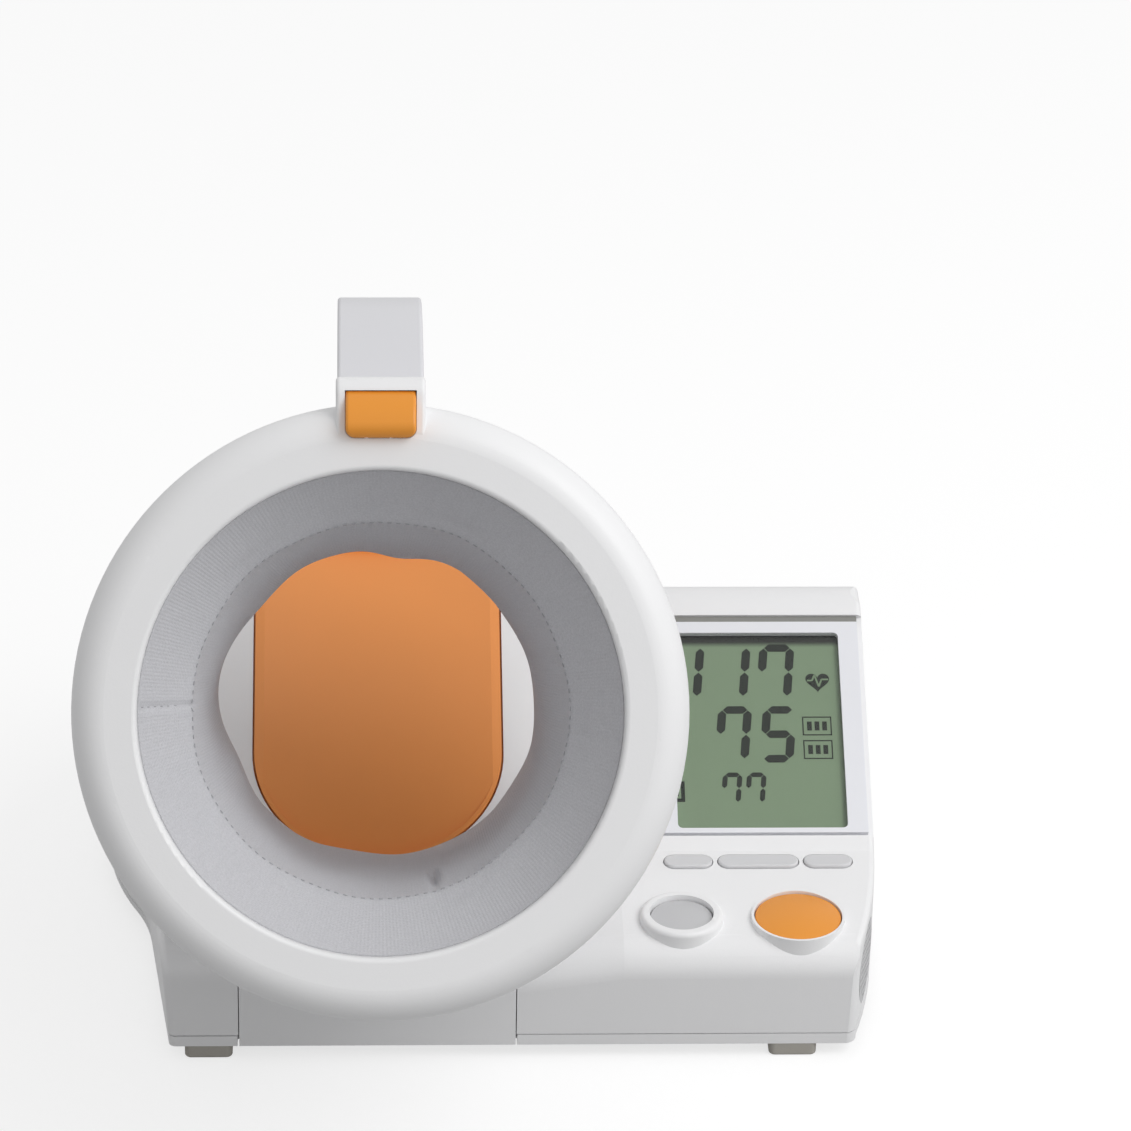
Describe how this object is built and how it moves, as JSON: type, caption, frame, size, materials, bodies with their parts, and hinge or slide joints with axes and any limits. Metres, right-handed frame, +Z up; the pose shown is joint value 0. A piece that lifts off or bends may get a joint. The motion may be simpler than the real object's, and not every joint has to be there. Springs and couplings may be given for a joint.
{
  "type": "arm-in blood pressure monitor",
  "caption": "Table-top blood pressure monitor: a fabric-lined cuff barrel with a carrying handle tilts on a base with an elbow rest, display and push buttons.",
  "frame": {"origin": "middle of the footprint, on the table", "axes": "+Z up, -Y towards the operator, +X to the display's side"},
  "size_m": [0.2418, 0.3247, 0.2457],
  "materials": {
    "white_plastic": "satin white moulding",
    "handle_plastic": "satin light grey moulding",
    "orange_plastic": "satin orange moulding",
    "rest_plastic": "smooth orange moulding",
    "grey_plastic": "light grey key cap",
    "grille_plastic": "light grey perforated disc",
    "dark_plastic": "dark technical moulding",
    "clear_window": "clear window",
    "lcd": "grey-green display",
    "circuit_board": "solder mask",
    "bladder": "matt sheet rubber",
    "foot_rubber": "matt grey rubber",
    "seal_rubber": "grey sealing strip",
    "knit_fabric": "fine grey knit",
    "steel": "turned steel",
    "spring_steel": "spring wire",
    "bush_brass": "sintered bush",
    "motor_metal": "pump casing"
  },
  "bodies": {
    "base": {"base_top": "white_plastic", "base_bottom": "white_plastic", "hinge_cover": "white_plastic", "arm_rest": "rest_plastic", "display_frame": "white_plastic", "frame_seal": "seal_rubber", "display_window": "clear_window", "lcd_panel": "lcd", "lcd_holder": "dark_plastic", "main_board": "circuit_board", "pressure_sensor": "dark_plastic", "key_board": "circuit_board", "key_switches": "dark_plastic", "speaker_grille": "grille_plastic", "speaker": "dark_plastic", "air_pump": "motor_metal", "pump_cradle": "dark_plastic", "pump_hose": "bladder", "valve_block": "dark_plastic", "bleed_valve": "motor_metal", "power_inlet": "dark_plastic", "rubber_feet": "foot_rubber", "base_screws": "steel", "hinge_shaft": "steel", "hinge_bushes": "bush_brass", "hinge_spring": "spring_steel", "latch_catch": "dark_plastic"},
    "barrel": {"front_ring": "white_plastic", "barrel_shell": "white_plastic", "rear_ring": "white_plastic", "rear_screws": "steel", "inner_frame": "dark_plastic", "clamp_bag": "bladder", "curler": "dark_plastic", "measuring_bag": "bladder", "cuff_sleeve": "knit_fabric", "handle": "handle_plastic", "hook_pin": "steel", "hook_bracket": "dark_plastic", "hinge_drum": "white_plastic"},
    "open_button": {"open_button": "orange_plastic", "latch_rod": "dark_plastic"},
    "latch_hook": {"latch_hook": "dark_plastic"},
    "start_button": {"start_button": "orange_plastic"},
    "power_button": {"power_button": "grey_plastic"},
    "memory_button": {"memory_button": "grey_plastic"},
    "select_button": {"select_button": "grey_plastic"},
    "clock_button": {"clock_button": "grey_plastic"}
  },
  "joints": [
    {"name": "barrel_tilt", "type": "hinge", "parent": "base", "child": "barrel", "pos_m": [-0.0339, -0.03751, 0.022], "axis": [-1, 0, 0], "range_deg": [0, 35]},
    {"name": "open_push", "type": "slide", "parent": "barrel", "child": "open_button", "axis": [0, 0.891, -0.454], "range_m": [0, 0.003], "stiffness_N_per_m": 700},
    {"name": "latch_turn", "type": "hinge", "parent": "barrel", "child": "latch_hook", "pos_m": [-0.0339, 0.0291, 0.17257], "axis": [-1, 0, 0], "range_deg": [0, 6.2]},
    {"name": "start_push", "type": "slide", "parent": "base", "child": "start_button", "axis": [0, 0, -1], "range_m": [0, 0.0012], "stiffness_N_per_m": 400},
    {"name": "power_push", "type": "slide", "parent": "base", "child": "power_button", "axis": [0, 0, -1], "range_m": [0, 0.0012], "stiffness_N_per_m": 400},
    {"name": "memory_push", "type": "slide", "parent": "base", "child": "memory_button", "axis": [0, 0, -1], "range_m": [0, 0.0012], "stiffness_N_per_m": 400},
    {"name": "select_push", "type": "slide", "parent": "base", "child": "select_button", "axis": [0, 0, -1], "range_m": [0, 0.0012], "stiffness_N_per_m": 400},
    {"name": "clock_push", "type": "slide", "parent": "base", "child": "clock_button", "axis": [0, 0, -1], "range_m": [0, 0.0012], "stiffness_N_per_m": 400}
  ],
  "couplings": [
    {"joint": "latch_turn", "follows": "open_push", "rad_per_m": 34.907}
  ]
}
